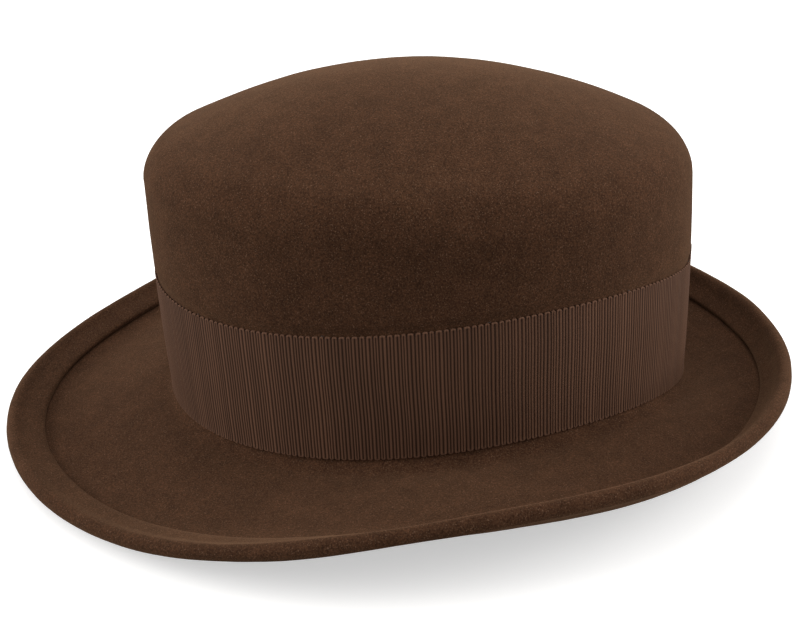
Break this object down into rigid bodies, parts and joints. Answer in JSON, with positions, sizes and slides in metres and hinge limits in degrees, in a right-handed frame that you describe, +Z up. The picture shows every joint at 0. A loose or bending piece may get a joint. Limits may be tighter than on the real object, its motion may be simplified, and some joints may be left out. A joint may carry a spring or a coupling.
{
  "type": "felt hat",
  "caption": "Brown felt hat with a low round crown, welted curled brim, wide ribbed ribbon with flat bow, leather sweatband and lining.",
  "frame": {"origin": "centre of the head opening, in the mean plane where the crown meets the brim", "axes": "+Z up along the crown, -Y the way the wearer faces, +X the wearer's left"},
  "size_m": [0.2959, 0.3118, 0.1359],
  "materials": {
    "felt": "brushed wool felt",
    "ribbon": "ribbed grosgrain",
    "sweat_leather": "satin",
    "reed": "matte",
    "tape": "woven tape",
    "lining": "satin weave",
    "thread": "twisted thread",
    "wire": "drawn",
    "tab": "woven"
  },
  "bodies": {
    "root": {"felt_body": "felt", "brim_wire": "wire", "brim_wire_joiner": "wire", "ribbon_band": "ribbon", "bow_tails": "ribbon", "bow_loops": "ribbon", "bow_knot": "ribbon", "ribbon_tack_stitches": "thread", "sweatband": "sweat_leather", "sweatband_reed": "reed", "reed_tape": "tape", "sweatband_stitches": "thread", "sweatband_seam_stitches": "thread", "sweatband_bow": "ribbon", "lining_side_band": "lining", "lining_tip": "lining", "lining_piping": "tape", "size_tab": "tab"}
  },
  "joints": []
}
